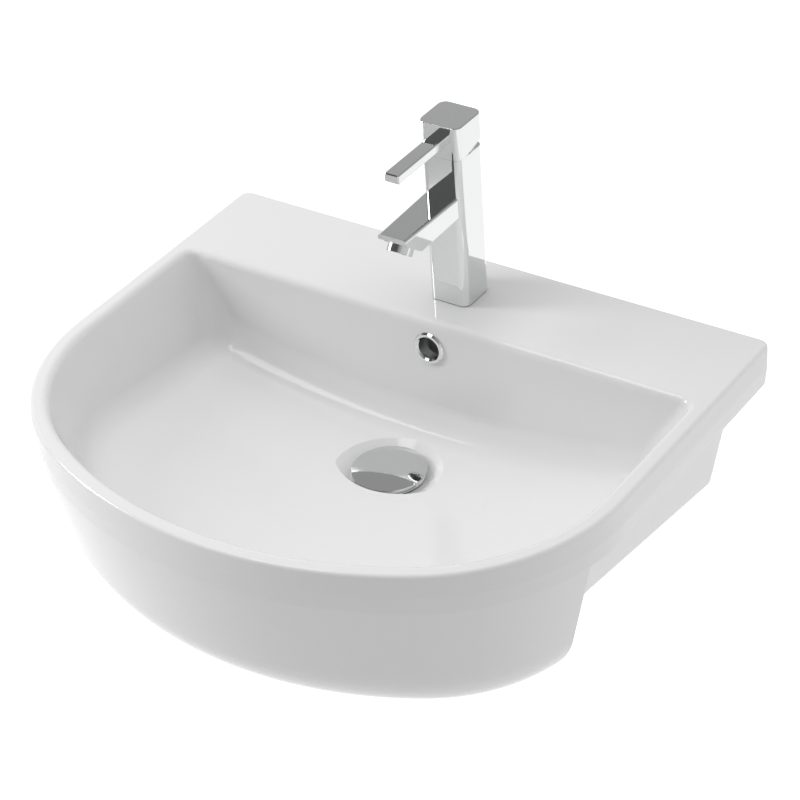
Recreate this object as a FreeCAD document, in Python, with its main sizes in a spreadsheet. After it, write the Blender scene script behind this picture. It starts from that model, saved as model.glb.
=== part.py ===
import FreeCAD, Part
import math
import os
from types import SimpleNamespace

import Sketcher

# A semi recessed wash basin with its single lever mixer, click-clack waste and overflow ring.
#
# The frame: +Z is up, the front of the basin looks along -Y.  The origin is on the centre line,
# where the wall behind the basin meets the top of the worktop that carries it.  The skirt of the
# deck stands on the worktop at z = 0, the bowl hangs through the worktop's cut-out, and the front
# of the basin hangs down outside it, with its wall ends against the worktop's front edge.

VEC = FreeCAD.Vector
doc = FreeCAD.newDocument("basin")

# ---------------------------------------------------------------------------------------------
# Sizes in millimetres.  Heights above the worktop are written "up", depths below the rim "down".
# ---------------------------------------------------------------------------------------------
SIZES = [
    # deck and outer shape
    ("basin_width", 526.0, "over the two sides"),
    ("basin_depth", 442.5, "from the wall to the front of the rim"),
    ("front_radius", 352.0, "plan radius of the front"),
    ("side_radius", 177.0, "plan radius between the front and each side"),
    ("deck_corner", 9.5, "plan radius of the two corners at the wall"),
    ("rim_height", 38.0, "top of the rim above the worktop"),
    ("deck_thick", 14.0, "ceramic of the deck"),
    ("wall", 12.0, "ceramic of the walls"),
    ("rim_round", 3.5, "outer edge of the rim"),
    ("recess_front", 284.0, "wall to the ends of the front wall"),
    ("front_drop", 167.0, "rim to the underside of the front"),
    ("draft_start", 29.0, "rim to the line where the sides start to draw in"),
    ("draft_blend", 8.0, "half height of the soft turn at that line"),
    ("side_draft", 0.214, "draw-in of the sides per mm"),
    ("front_draft", 0.208, "draw-in of the front per mm"),
    ("belly_round", 64.0, "round under the front"),
    # bowl
    ("rim_width", 14.2, "outer face to the bowl, round the front and the sides"),
    ("bowl_back", 105.0, "wall to the back edge of the bowl"),
    ("bowl_corner", 10.0, "plan radius of the back corners at the rim"),
    ("bowl_side_slope", 0.40, "draw-in of the bowl's sides per mm"),
    ("bowl_front_slope", 0.30, "draw-in of the bowl's front per mm"),
    ("bowl_back_slope", 0.065, "draw-in of the bowl's back per mm"),
    ("corner_growth", 0.25, "growth of the back corners' radius per mm of depth"),
    ("bowl_floor", 106.0, "rim to the lowest point of the floor"),
    ("floor_centre", 150.0, "wall to the lowest point of the floor"),
    ("floor_radius", 920.0, "radius of the dished floor"),
    ("bowl_round", 28.0, "round between walls and floor"),
    ("bowl_lip", 7.0, "inner edge of the rim"),
    # under-body, which goes through the worktop
    ("under_inset", 11.0, "outer face of the skirt to the under-body"),
    ("under_back", 42.0, "wall to the back of the under-body"),
    ("under_drop", 79.5, "worktop to the lowest edge of the under-body, at its back"),
    ("under_rise", 0.124, "rise of that edge towards the front, per mm"),
    ("under_draft", 0.152, "draw-in of the under-body per mm"),
    ("under_taper", 0.028, "closing in of its sides towards the front, per mm"),
    ("under_corner", 14.0, "round of its back corners"),
    ("under_round", 10.0, "round of its lower edge"),
    ("side_room_down", 30.0, "worktop to the top of the gap between its sides and the bowl"),
    ("tap_bay", 220.0, "gap in its back wall for the mixer's fixings"),
    # waste outlet in the ceramic
    ("waste_back", 176.7, "wall to the centre of the waste"),
    ("waste_seat", 112.0, "rim to the seat of the waste flange"),
    ("seat_radius", 33.5, "flat seat of the flange"),
    ("dish_radius", 47.0, "rim of the dish round the seat"),
    ("dish_height", 8.0, "height over which the dish opens"),
    ("waste_hole", 46.0, "bore of the outlet"),
    ("outlet_height", 36.0, "ceramic between seat and underside"),
    ("outlet_radius", 42.0, "outside of the outlet boss"),
    # overflow in the ceramic
    ("overflow_down", 26.0, "rim to the centre of the overflow"),
    ("overflow_hole", 24.0, "bore in the back of the bowl"),
    ("duct_width", 52.0, "outside of the overflow duct"),
    ("duct_bore_width", 30.0, "water way of the duct, across"),
    ("duct_bore_depth", 12.0, "water way of the duct behind the bowl"),
    ("duct_bore_height", 12.0, "water way of the duct under the floor"),
    ("duct_wall", 8.0, "ceramic round the duct"),
    ("duct_front", 97.0, "wall to the front of the duct's bore"),
    # waste fitting
    ("thread_outer", 41.9, "thread of the tail"),
    ("tail_bore", 36.0, "bore of the tail"),
    ("tail_length", 90.0, "top of the flange to the end of the tail"),
    ("tail_relief", 1.2, "undercut between the backnut's thread and the trap's"),
    ("flange_width", 62.0, "flange"),
    ("flange_thick", 2.5, "flange"),
    ("flange_seal_thick", 1.5, "seal under the flange"),
    ("tail_slot_width", 14.0, "overflow window in the tail"),
    ("tail_slot_height", 16.0, "overflow window in the tail"),
    ("spider_thick", 4.0, "cross in the tail that carries the click barrel"),
    ("spider_down", 9.0, "top of the flange to the top of the cross"),
    ("spider_arm", 4.0, "width of each arm of the cross"),
    ("barrel_width", 15.0, "click barrel"),
    ("barrel_length", 26.0, "click barrel below the cross"),
    ("click_pin_width", 8.0, "pin between dome and barrel"),
    ("pin_clearance", 0.08, "running clearance of the pin"),
    ("dome_width", 63.6, "dome of the plug"),
    ("dome_crown", 5.0, "height of the dome"),
    ("dome_thick", 1.8, "metal of the dome"),
    ("dome_seal_thick", 1.0, "seal under the dome"),
    ("under_seal_width", 62.0, "tapered seal under the outlet"),
    ("under_seal_height", 12.0, "tapered seal under the outlet"),
    ("waste_washer_thick", 2.0, "slip washer"),
    ("backnut_width", 58.0, "backnut over its lobes"),
    ("backnut_height", 14.0, "backnut"),
    # overflow ring
    ("ring_width", 29.0, "trim ring in the overflow"),
    ("ring_bore", 20.0, "trim ring"),
    ("ring_lip", 2.5, "trim ring in front of the ceramic"),
    ("ring_sleeve", 10.0, "sleeve of the ring in the ceramic"),
    ("sleeve_clearance", 0.2, "between sleeve and ceramic"),
    ("deck_joint", 76.0, "wall to the joint between the deck and the bowl"),
    ("ledge_width", 120.0, "piece of the deck that carries the mixer"),
    # mixer body
    ("tap_back", 56.0, "wall to the axis of the mixer"),
    ("tap_hole", 30.0, "hole in the deck"),
    ("column_width", 37.5, "square column"),
    ("column_corner", 7.0, "corner radius of the column"),
    ("column_up", 140.0, "deck to the top of the column"),
    ("base_seal_thick", 0.8, "seal under the column"),
    ("base_seal_inset", 0.6, "seal inside the column's outline"),
    ("spout_reach", 93.0, "mixer axis to the tip of the spout"),
    ("spout_up", 105.0, "deck to the top of the spout"),
    ("spout_root", 17.5, "height of the spout at the column"),
    ("spout_root_width", 31.0, "width of the spout at the column"),
    ("spout_tip_width", 26.5, "width of the spout at its tip"),
    ("spout_lip", 4.5, "thickness of the spout's tip"),
    ("nose_back", 21.0, "tip of the spout to its lowest edge"),
    ("nose_depth", 20.5, "top of the spout to its lowest edge"),
    ("spout_round", 2.4, "long edges of the spout"),
    ("water_way", 6.0, "bores inside the mixer"),
    ("water_way_down", 6.5, "top of the spout to the axis of its bore"),
    # aerator
    ("aerator_width", 22.6, "frame of the aerator, across"),
    ("aerator_depth", 13.6, "frame of the aerator, along the spout"),
    ("aerator_back", 13.2, "tip of the spout to the centre of the aerator"),
    ("aerator_low", 19.0, "top of the spout to the underside of the aerator"),
    ("aerator_top", 9.0, "top of the spout to the seat of the aerator"),
    ("aerator_wall", 1.6, "frame of the aerator"),
    ("aerator_seal_thick", 0.8, "seal over the aerator"),
    ("aerator_sink", 2.0, "insert above the frame's lower edge"),
    ("aerator_clearance", 0.15, "round the frame and its insert"),
    # inlets and fixing
    ("inlet_thread", 10.0, "threaded inlets in the base"),
    ("inlet_spread", 8.0, "centre line to each inlet"),
    ("inlet_front", 4.5, "mixer axis to the inlets, forwards"),
    ("inlet_length", 12.0, "thread of the inlets"),
    ("stud_thread", 6.0, "fixing stud"),
    ("stud_behind", 10.0, "mixer axis to the stud, backwards"),
    ("stud_length", 62.0, "fixing stud"),
    ("stud_grip", 12.0, "stud inside the column"),
    ("shoe_radius", 24.0, "horseshoe washers"),
    ("shoe_slot", 29.0, "gap for the inlets in the horseshoe washers"),
    ("shoe_rubber", 3.0, "rubber horseshoe"),
    ("shoe_metal", 2.0, "metal horseshoe"),
    ("fixing_nut_flats", 10.0, "nut over its flats"),
    ("fixing_nut_height", 10.0, "nut"),
    # cartridge
    ("bore_width", 27.0, "bore for the cartridge"),
    ("bore_depth", 32.0, "top of the column to the cartridge seat"),
    ("gasket_thick", 1.0, "seal under the cartridge"),
    ("cartridge_width", 26.4, "housing of the cartridge"),
    ("cartridge_base_thick", 5.0, "base of the cartridge"),
    ("disc_thick", 3.0, "each ceramic disc"),
    ("fixed_disc_width", 20.0, "fixed ceramic disc"),
    ("moving_disc_width", 17.0, "moving ceramic disc"),
    ("carrier_width", 15.0, "carrier on the moving disc"),
    ("carrier_thick", 4.0, "carrier on the moving disc"),
    ("housing_inner", 22.6, "room inside the housing"),
    ("housing_top", 2.0, "top plate of the housing"),
    ("rotor_flange_width", 22.0, "rotor under the housing's top"),
    ("rotor_flange_thick", 5.2, "rotor under the housing's top"),
    ("rotor_neck_width", 15.6, "rotor above the housing"),
    ("rotor_neck_up", 8.0, "rotor above the housing's top plate"),
    ("rotor_gap", 0.3, "running gaps round the rotor"),
    ("nut_height", 5.5, "nut over the cartridge"),
    ("nut_bore", 18.0, "nut over the cartridge"),
    ("nut_thread", 29.0, "thread of the nut in the column"),
    ("pivot_down", 12.0, "top of the column to the tilt axis of the lever"),
    ("pin_width", 3.0, "pin on the tilt axis"),
    ("pin_fit", 0.05, "running fit of the pin"),
    ("stem_width", 8.0, "stem across the pin"),
    ("stem_depth", 7.0, "stem along the slot"),
    ("stem_foot", 5.0, "foot of the stem in the carrier"),
    ("stem_gap", 0.35, "between the stem and what it moves in"),
    ("stem_up", 30.0, "tilt axis to the top of the stem"),
    ("socket_gap", 0.8, "round the stem's foot in the carrier"),
    ("port_behind", 6.0, "cartridge axis to the mixed water port"),
    ("port_width", 4.0, "hot and cold bores up to the cartridge"),
    ("port_spread", 5.8, "cartridge axis to the hot and cold ports, sideways"),
    ("port_front", 3.5, "cartridge axis to the hot and cold ports, forwards"),
    # handle
    ("handle_gap", 0.6, "column to handle"),
    ("head_width", 39.0, "square head of the handle"),
    ("head_corner", 7.5, "corner radius of the head"),
    ("handle_up", 29.4, "height of the handle"),
    ("handle_round", 1.0, "top edge of the handle"),
    ("relief_front", 10.0, "mixer axis to the start of the relief, forwards"),
    ("relief_rise", 0.25, "rise of the underside per mm"),
    ("handle_shell", 5.0, "metal round the hollow of the handle"),
    ("hollow_up", 11.0, "height of the hollow in the handle"),
    ("boss_width", 14.0, "boss that takes the stem"),
    ("boss_up", 2.5, "underside of the boss above the handle's"),
    ("lever_width", 14.0, "lever"),
    ("lever_thick", 8.0, "lever"),
    ("lever_length", 68.0, "lever in front of the handle"),
    ("lever_down", 10.0, "top of the handle to the top of the lever"),
    ("lever_round", 1.3, "long edges of the lever"),
    ("lever_stud_thread", 5.0, "stud between lever and handle"),
    ("lever_stud_half", 8.0, "stud on each side of the joint"),
    ("grub_thread", 5.0, "screw that holds the handle on the stem"),
    ("grub_length", 8.0, "screw that holds the handle on the stem"),
    ("grub_down", 15.0, "top of the handle to the screw"),
    ("plug_width", 6.0, "plug over the screw"),
    ("plug_thick", 2.5, "plug over the screw"),
    ("thread_gap", 0.05, "between a screw and its hole"),
]

sheet = doc.addObject("Spreadsheet::Sheet", "sizes")
for row, (alias, number, meaning) in enumerate(SIZES, 1):
    sheet.set("A%d" % row, alias.replace("_", " "))
    sheet.set("B%d" % row, repr(number))
    sheet.set("C%d" % row, meaning)
    sheet.setAlias("B%d" % row, alias)
doc.recompute()


class Size:
    """A number together with the sheet formula that it comes from."""

    def __init__(self, value, text):
        self.value, self.text = float(value), text

    def __add__(self, other):
        other = as_size(other)
        return Size(self.value + other.value, "(%s + %s)" % (self.text, other.text))

    def __sub__(self, other):
        other = as_size(other)
        return Size(self.value - other.value, "(%s - %s)" % (self.text, other.text))

    def __mul__(self, other):
        other = as_size(other)
        return Size(self.value * other.value, "(%s * %s)" % (self.text, other.text))

    def __truediv__(self, other):
        other = as_size(other)
        return Size(self.value / other.value, "(%s / %s)" % (self.text, other.text))

    def __radd__(self, other):
        return as_size(other) + self

    def __rsub__(self, other):
        return as_size(other) - self

    def __rmul__(self, other):
        return as_size(other) * self

    def __neg__(self):
        return Size(-self.value, "(0 - %s)" % self.text)


def as_size(number):
    return number if isinstance(number, Size) else Size(number, "(%.10g)" % number)


def root(size):
    return Size(math.sqrt(size.value), "sqrt(%s)" % size.text)


s = SimpleNamespace(**{alias: Size(number, "sizes." + alias) for alias, number, _ in SIZES})


def bind(thing, prop, size):
    """Ties a property to the sheet, or sets it where it is a plain number."""
    size = as_size(size)
    if "sizes." in size.text:
        thing.setExpression(prop, size.text)
    elif "." in prop:
        thing.setExpression(prop, "%.10g" % size.value)
    else:
        setattr(thing, prop, size.value)


# ---------------------------------------------------------------------------------------------
# Sketches and features
# ---------------------------------------------------------------------------------------------
def new_body(label, x=0, y=0, z=0):
    body = doc.addObject("PartDesign::Body", label)
    body.Label = label
    for axis, size in zip("xyz", (x, y, z)):
        bind(body, "Placement.Base." + axis, size)
    return body


def attach(body, thing, plane, offset=(0, 0, 0)):
    """Lays a sketch or a primitive on one of the body's own origin planes."""
    role = plane + "_Plane"
    support = [f for f in body.Origin.OriginFeatures if f.Role == role][0]
    thing.AttachmentSupport = [(support, "")]
    thing.MapMode = "FlatFace"
    for axis, size in zip("xyz", offset):
        bind(thing, "AttachmentOffset.Base." + axis, size)


def pin_point(sketch, edge, end, point):
    """Dimensions one end of an edge from the sketch's origin."""
    for kind, size in zip(("DistanceX", "DistanceY"), point):
        size = as_size(size)
        index = sketch.addConstraint(
            Sketcher.Constraint(kind, -1, 1, edge, end, size.value))
        if "sizes." in size.text:
            sketch.setExpression("Constraints[%d]" % index, size.text)


def outline(sketch, points, arcs=None):
    """Adds a closed outline.  arcs gives, for the edge that leaves point i, (radius, centre)."""
    arcs = arcs or {}
    flat = [(as_size(x).value, as_size(y).value) for x, y in points]
    first = sketch.GeometryCount
    for i, (x, y) in enumerate(flat):
        x_next, y_next = flat[(i + 1) % len(flat)]
        if i in arcs:
            radius, (cx, cy) = arcs[i]
            cx, cy = as_size(cx).value, as_size(cy).value
            circle = Part.Circle(VEC(cx, cy, 0), VEC(0, 0, 1), as_size(radius).value)
            start, stop = math.atan2(y - cy, x - cx), math.atan2(y_next - cy, x_next - cx)
            sketch.addGeometry(Part.ArcOfCircle(circle, start, stop), False)
        else:
            sketch.addGeometry(Part.LineSegment(VEC(x, y, 0), VEC(x_next, y_next, 0)), False)
    for i, point in enumerate(points):
        following = first + (i + 1) % len(points)
        sketch.addConstraint(Sketcher.Constraint("Coincident", first + i, 2, following, 1))
        pin_point(sketch, first + i, 1, point)
        if i in arcs:
            radius = as_size(arcs[i][0])
            index = sketch.addConstraint(Sketcher.Constraint("Radius", first + i, radius.value))
            if "sizes." in radius.text:
                sketch.setExpression("Constraints[%d]" % index, radius.text)
    return sketch


def ring(sketch, x, y, radius):
    """Adds a circle."""
    x, y, radius = as_size(x), as_size(y), as_size(radius)
    edge = sketch.GeometryCount
    sketch.addGeometry(Part.Circle(VEC(x.value, y.value, 0), VEC(0, 0, 1), radius.value), False)
    pin_point(sketch, edge, 3, (x, y))
    index = sketch.addConstraint(Sketcher.Constraint("Radius", edge, radius.value))
    if "sizes." in radius.text:
        sketch.setExpression("Constraints[%d]" % index, radius.text)
    return sketch


def new_sketch(body, name, plane, up=0):
    sketch = body.newObject("Sketcher::SketchObject", name)
    attach(body, sketch, plane, (0, 0, up))
    return sketch


def frame_points(x0, y0, x1, y1):
    return [(x0, y0), (x1, y0), (x1, y1), (x0, y1)]


def square_points(width, y=0, depth=None):
    """A rectangle centred on (0, y)."""
    depth = width if depth is None else depth
    return frame_points(-(width / 2), y - depth / 2, width / 2, y + depth / 2)


def pad(body, sketch, length, centred=False, name="Pad"):
    feature = body.newObject("PartDesign::Pad", name)
    feature.Profile = sketch
    bind(feature, "Length", length)
    feature.Midplane = centred
    doc.recompute()
    return feature


def pocket(body, sketch, length, centred=False, name="Pocket"):
    """Cuts along the sketch's normal when not centred."""
    before = body.Shape.Volume
    feature = body.newObject("PartDesign::Pocket", name)
    feature.Profile = sketch
    bind(feature, "Length", length)
    feature.Midplane = centred
    feature.Reversed = not centred
    doc.recompute()
    if body.Shape.Volume > before - 1e-6:
        raise ValueError("%s in %s cuts nothing" % (name, body.Label))
    return feature


def turn(body, points, cut=False, arcs=None):
    """Revolves an outline of (radius, height) points about the body's own Z axis."""
    sketch = outline(new_sketch(body, "Profile", "XZ"), points, arcs)
    kind = "PartDesign::Groove" if cut else "PartDesign::Revolution"
    feature = body.newObject(kind, "Turned")
    feature.Profile = sketch
    feature.ReferenceAxis = (sketch, ["V_Axis"])
    feature.Angle = 360
    doc.recompute()
    return feature


def loft(body, sections, cut=False, ruled=True):
    kind = "PartDesign::SubtractiveLoft" if cut else "PartDesign::AdditiveLoft"
    feature = body.newObject(kind, "Loft")
    feature.Profile = sections[0]
    feature.Sections = sections[1:]
    feature.Ruled = ruled
    doc.recompute()
    return feature


def drum(body, radius, height, x=0, y=0, z=0, cut=False, along="Z"):
    """A cylinder primitive.  Along Z it stands on (x, y, z), along Y it runs from there to -Y."""
    feature = body.newObject(
        "PartDesign::%sCylinder" % ("Subtractive" if cut else "Additive"), "Drum")
    if along == "Z":
        attach(body, feature, "XY", (x, y, z))
    else:
        attach(body, feature, "XZ", (x, z, -as_size(y)))
    bind(feature, "Radius", radius)
    bind(feature, "Height", height)
    doc.recompute()
    return feature


def block(body, low, size, cut=False):
    """A box primitive with its low corner and its three edge lengths."""
    feature = body.newObject("PartDesign::%sBox" % ("Subtractive" if cut else "Additive"), "Block")
    attach(body, feature, "XY", low)
    for prop, length in zip(("Length", "Width", "Height"), size):
        bind(feature, prop, length)
    doc.recompute()
    return feature


def edges_where(shape, test):
    return ["Edge%d" % (i + 1) for i, edge in enumerate(shape.Edges) if test(edge)]


def dress(body, test, radius, kind="Fillet"):
    """Rounds or chamfers the edges of the body's tip that pass the test."""
    base = body.Tip
    names = edges_where(base.Shape, test)
    if not names:
        raise ValueError("no edge to dress in " + body.Label)
    feature = body.newObject("PartDesign::" + kind, kind)
    feature.Base = (base, names)
    bind(feature, "Radius" if kind == "Fillet" else "Size", radius)
    doc.recompute()
    return feature


def is_upright(edge):
    box = edge.BoundBox
    return box.XLength < 1e-4 and box.YLength < 1e-4 and box.ZLength > 1e-3


def at_height(edge, z):
    box = edge.BoundBox
    return abs(box.ZMin - as_size(z).value) < 1e-3 and abs(box.ZMax - as_size(z).value) < 1e-3


# ---------------------------------------------------------------------------------------------
# Heights and places that several pieces share
# ---------------------------------------------------------------------------------------------
deck = s.rim_height
deck_under = deck - s.deck_thick
waste_seat = deck - s.waste_seat
outlet_under = waste_seat - s.outlet_height
flange_under = waste_seat + s.flange_seal_thick
flange_top = flange_under + s.flange_thick
column_base = deck + s.base_seal_thick
column_top = deck + s.column_up
cartridge_seat = column_top - s.bore_depth
pivot = column_top - s.pivot_down
base_low = cartridge_seat + s.gasket_thick
fixed_low = base_low + s.cartridge_base_thick
moving_low = fixed_low + s.disc_thick
carrier_low = moving_low + s.disc_thick
carrier_top = carrier_low + s.carrier_thick
rotor_low = carrier_top + s.rotor_gap
housing_under = rotor_low + s.rotor_flange_thick + s.rotor_gap
housing_high = housing_under + s.housing_top
spout_top = deck + s.spout_up
handle_under = column_top + s.handle_gap
handle_top = handle_under + s.handle_up
half_column = s.column_width / 2
tap_y = -s.tap_back
waste_y = -s.waste_back


# ---------------------------------------------------------------------------------------------
# The basin
# ---------------------------------------------------------------------------------------------
def plan_section(body, z, width, back, length, front_radius, side_radius, corner):
    """The plan of rim and bowl: straight back, rounded back corners, straight sides that run
    tangent into the side arcs, and one wide arc across the front."""
    half = width / 2
    front_centre = front_radius - back - length
    side_x = half - side_radius
    reach = front_radius - side_radius
    side_drop = root(reach * reach - side_x * side_x)
    side_y = front_centre - side_drop
    touch_x = side_x / reach * front_radius
    touch_y = front_centre - side_drop / reach * front_radius
    corner_x, corner_y = half - corner, -back - corner
    points = [
        (half, side_y), (half, corner_y), (corner_x, -back), (-corner_x, -back),
        (-half, corner_y), (-half, side_y), (-touch_x, touch_y), (touch_x, touch_y),
    ]
    arcs = {
        1: (corner, (corner_x, corner_y)),
        3: (corner, (-corner_x, corner_y)),
        5: (side_radius, (-side_x, side_y)),
        6: (front_radius, (0, front_centre)),
        7: (side_radius, (side_x, side_y)),
    }
    return outline(new_sketch(body, "Plan", "XY", z), points, arcs)


def outer_section(body, z, side_in, front_in, inset=0, back_inset=0):
    """The outer plan at one height, drawn in at the sides and the front."""
    return plan_section(
        body, z,
        s.basin_width - 2 * side_in - 2 * as_size(inset),
        as_size(back_inset),
        s.basin_depth - front_in - inset - back_inset,
        s.front_radius - front_in - inset,
        s.side_radius - side_in - inset,
        s.deck_corner if not isinstance(inset, Size) else s.deck_corner / 2)


def outer_sections(body, levels, inset=0, back_inset=0):
    """Sections at depths below the rim.  Down to the blend the wall is upright, then it turns
    over the blend's height into the drafted wall."""
    sections = []
    for depth, share in levels:
        sections.append(outer_section(
            body, deck - depth, share * s.side_draft, share * s.front_draft, inset, back_inset))
    return sections


def draw_outside(body, levels, inset=0, back_inset=0, clear=0):
    """Walls through the levels, the worktop's room taken out, then the round underneath."""
    loft(body, outer_sections(body, levels, inset, back_inset))
    bottom = levels[-1][0]
    room = outline(new_sketch(body, "Worktop", "YZ"), frame_points(
        -s.recess_front + clear, -s.front_drop, as_size(10), -as_size(clear)))
    pocket(body, room, s.basin_width + 20, centred=True, name="WorktopRoom")
    dress(body, lambda e: at_height(e, deck - bottom) and e.BoundBox.YMin < -s.recess_front.value - 5,
          s.belly_round - inset)
    return body


# The outside: skirt, deck and front wall.  The worktop takes the room behind the front wall, up
# to the foot of the skirt.
blend = s.draft_blend
belly_run = s.front_drop - s.draft_start
shell = draw_outside(new_body("shell"), [
    (as_size(0), as_size(0)),
    (s.draft_start - blend, as_size(0)),
    (s.draft_start + blend, blend),
    (s.front_drop, belly_run),
])

# The casting is hollow under the deck and behind the front wall, open to the back and below.
hollow = draw_outside(new_body("hollow"), [
    (s.deck_thick, as_size(0)),
    (s.draft_start, as_size(0)),
    (s.front_drop - s.wall, belly_run - s.wall),
], inset=s.wall, back_inset=s.wall, clear=5)


def bowl_section(body, depth, grow=0):
    return plan_section(
        body, deck - depth,
        s.basin_width - 2 * s.rim_width - 2 * s.bowl_side_slope * depth + 2 * as_size(grow),
        s.bowl_back + s.bowl_back_slope * depth - grow,
        s.basin_depth - s.bowl_back - s.rim_width
        - (s.bowl_back_slope + s.bowl_front_slope) * depth + 2 * as_size(grow),
        s.front_radius - s.rim_width - s.bowl_front_slope * depth + grow,
        s.side_radius - s.rim_width - s.bowl_side_slope * depth + grow,
        s.bowl_corner + s.corner_growth * depth + grow)


def bowl_form(label, top_depth, grow, rounding):
    """The bowl as a solid: drafted walls, cut by the dished floor, rounded where they meet."""
    walls = new_body(label + "_walls")
    loft(walls, [bowl_section(walls, top_depth, grow),
                 bowl_section(walls, s.bowl_floor + s.wall + 10, grow)])
    dish = doc.addObject("Part::Sphere", label + "_dish")
    bind(dish, "Radius", s.floor_radius + grow)
    bind(dish, "Placement.Base.y", -s.floor_centre)
    bind(dish, "Placement.Base.z", deck - s.bowl_floor + s.floor_radius)
    common = doc.addObject("Part::Common", label + "_form")
    common.Base, common.Tool = walls, dish
    doc.recompute()
    floor = [f for f in common.Shape.Faces if isinstance(f.Surface, Part.Sphere)]
    rim = [i + 1 for i, e in enumerate(common.Shape.Edges)
           if any(e.isSame(other) for f in floor for other in f.Edges)]
    rounded = doc.addObject("Part::Fillet", label + "_rounded")
    rounded.Base = common
    rounded.Edges = [(i, rounding.value, rounding.value) for i in rim]
    doc.recompute()
    return rounded


def boolean(kind, label, parts):
    feature = doc.addObject("Part::" + kind, label)
    if kind == "Cut":
        feature.Base, feature.Tool = parts
    else:
        feature.Shapes = parts
    doc.recompute()
    return feature


def cylinder(label, radius, height, y, z):
    feature = doc.addObject("Part::Cylinder", label)
    bind(feature, "Radius", radius)
    bind(feature, "Height", height)
    bind(feature, "Placement.Base.y", y)
    bind(feature, "Placement.Base.z", z)
    return feature


bowl_outside = bowl_form("bowl_outside", s.deck_thick - 4, s.wall, s.bowl_round + s.wall)
bowl_inside = bowl_form("bowl_inside", as_size(-2), as_size(0), s.bowl_round)

# The outlet boss under the floor, and the duct that leads the overflow down the back of the bowl
# and forward into the side of the outlet.
outlet_boss = cylinder("outlet_boss", s.outlet_radius, s.outlet_height + 10, waste_y, outlet_under)
duct_back = -s.duct_front + s.duct_bore_depth
duct_floor = outlet_under + s.duct_wall + 4


def duct(label, wall, width, reach):
    """An L seen from the side: down the back, then forward under the floor."""
    low, high = duct_floor - wall, duct_floor + s.duct_bore_height + wall
    top = deck_under + 4 if isinstance(wall, Size) else deck - s.overflow_down + 8
    points = [
        (reach, low), (duct_back + wall, low), (duct_back + wall, top),
        (-s.duct_front - wall, top), (-s.duct_front - wall, high), (reach, high),
    ]
    body = new_body(label)
    pad(body, outline(new_sketch(body, "Side", "YZ"), points), width, centred=True)
    return body


duct_outside = duct("duct_outside", s.duct_wall, s.duct_width, waste_y + 30)
duct_inside = duct("duct_inside", 0, s.duct_bore_width, waste_y)



def under_section(body, z, inset, front):
    """The under-body's plan at one height: the back, and sides that close in to the front."""
    z = as_size(z)
    back = -s.under_back + s.under_draft * z - inset
    half = s.basin_width / 2 - s.under_inset + s.under_draft * z - inset
    half_front = half - s.under_taper * (back - front)
    points = [(half, back), (-half, back), (-half_front, front), (half_front, front)]
    return outline(new_sketch(body, "UnderPlan", "XY", z), points)


def under_room(label, top, inset, front):
    """Room inside the under-body, open below."""
    body = new_body(label)
    loft(body, [under_section(body, top, inset, front),
                under_section(body, under_low - 5, inset, front)])
    return body


# The under-body: a wall round the back and the sides of the bowl, which the cut-out of the
# worktop takes.  Its lower edge rises towards the front, and its back is open for the mixer.
under_low = -s.under_drop - s.under_rise * s.under_back - 10
under_front = -s.recess_front - s.wall
under_body = new_body("under_body")
loft(under_body, [under_section(under_body, deck_under + 2, 0, under_front),
                  under_section(under_body, under_low, 0, under_front)])
pocket(under_body, outline(new_sketch(under_body, "UnderSlope", "YZ"), [
    (0, -s.under_drop - s.under_rise * s.under_back),
    (under_front - 10, -s.under_drop + s.under_rise * (-under_front + 10 - s.under_back)),
    (under_front - 10, under_low - 10), (0, under_low - 10),
]), s.basin_width, centred=True, name="LowerEdge")
dress(under_body, lambda e: e.BoundBox.ZLength > 60 and e.BoundBox.YMin > under_front.value / 2,
      s.under_corner)


def on_lower_edge(edge):
    middle = edge.valueAt((edge.FirstParameter + edge.LastParameter) / 2)
    slope = -s.under_drop.value - s.under_rise.value * (s.under_back.value + middle.y)
    return abs(middle.z - slope) < 0.01 and edge.BoundBox.YMax > under_front.value + 1


dress(under_body, on_lower_edge, s.under_round)
bay = new_body("bay")
block(bay, (-s.tap_bay / 2, -s.bowl_back, under_low - 5),
      (s.tap_bay, s.bowl_back - s.under_back / 2, deck_under - under_low + 5))
rooms = boolean("MultiFuse", "rooms", [
    under_room("back_room", deck_under, s.wall, -s.bowl_back),
    under_room("side_room", -s.side_room_down, s.wall, under_front - 10),
    bay,
])
under_walls = boolean("Cut", "under_walls", [under_body, rooms])

open_shell = boolean("Cut", "open_shell", [shell, hollow])
solid = boolean("MultiFuse", "solid",
                [open_shell, bowl_outside, outlet_boss, duct_outside])

# What stands under the rim is one wall at each side, with its return at the back.
under_skirt = boolean("Cut", "under_skirt", [under_walls, solid])
for side, start in (("left", -s.basin_width), ("right", as_size(0))):
    half = doc.addObject("Part::Box", "half_" + side)
    bind(half, "Length", s.basin_width)
    bind(half, "Width", s.basin_depth)
    bind(half, "Height", 2 * s.front_drop)
    bind(half, "Placement.Base.x", start)
    bind(half, "Placement.Base.y", -s.basin_depth)
    bind(half, "Placement.Base.z", -s.front_drop)
    boolean("MultiCommon", "basin_side_" + side, [under_skirt, half])

bowled = boolean("Cut", "bowled", [solid, bowl_inside])

rims = doc.addObject("Part::Fillet", "rims")
rims.Base = bowled
rim_edges = []
for i, edge in enumerate(bowled.Shape.Edges, 1):
    if at_height(edge, deck):
        middle = edge.valueAt((edge.FirstParameter + edge.LastParameter) / 2)
        half_rim = s.rim_width.value / 2
        outer = (middle.y > -s.bowl_back.value + half_rim
                 or edge.BoundBox.XMax > s.basin_width.value / 2 - half_rim
                 or edge.BoundBox.XMin < half_rim - s.basin_width.value / 2
                 or edge.BoundBox.YMin < half_rim - s.basin_depth.value)
        radius = (s.rim_round if outer else s.bowl_lip).value
        rim_edges.append((i, radius, radius))
rims.Edges = rim_edges
doc.recompute()

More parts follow.
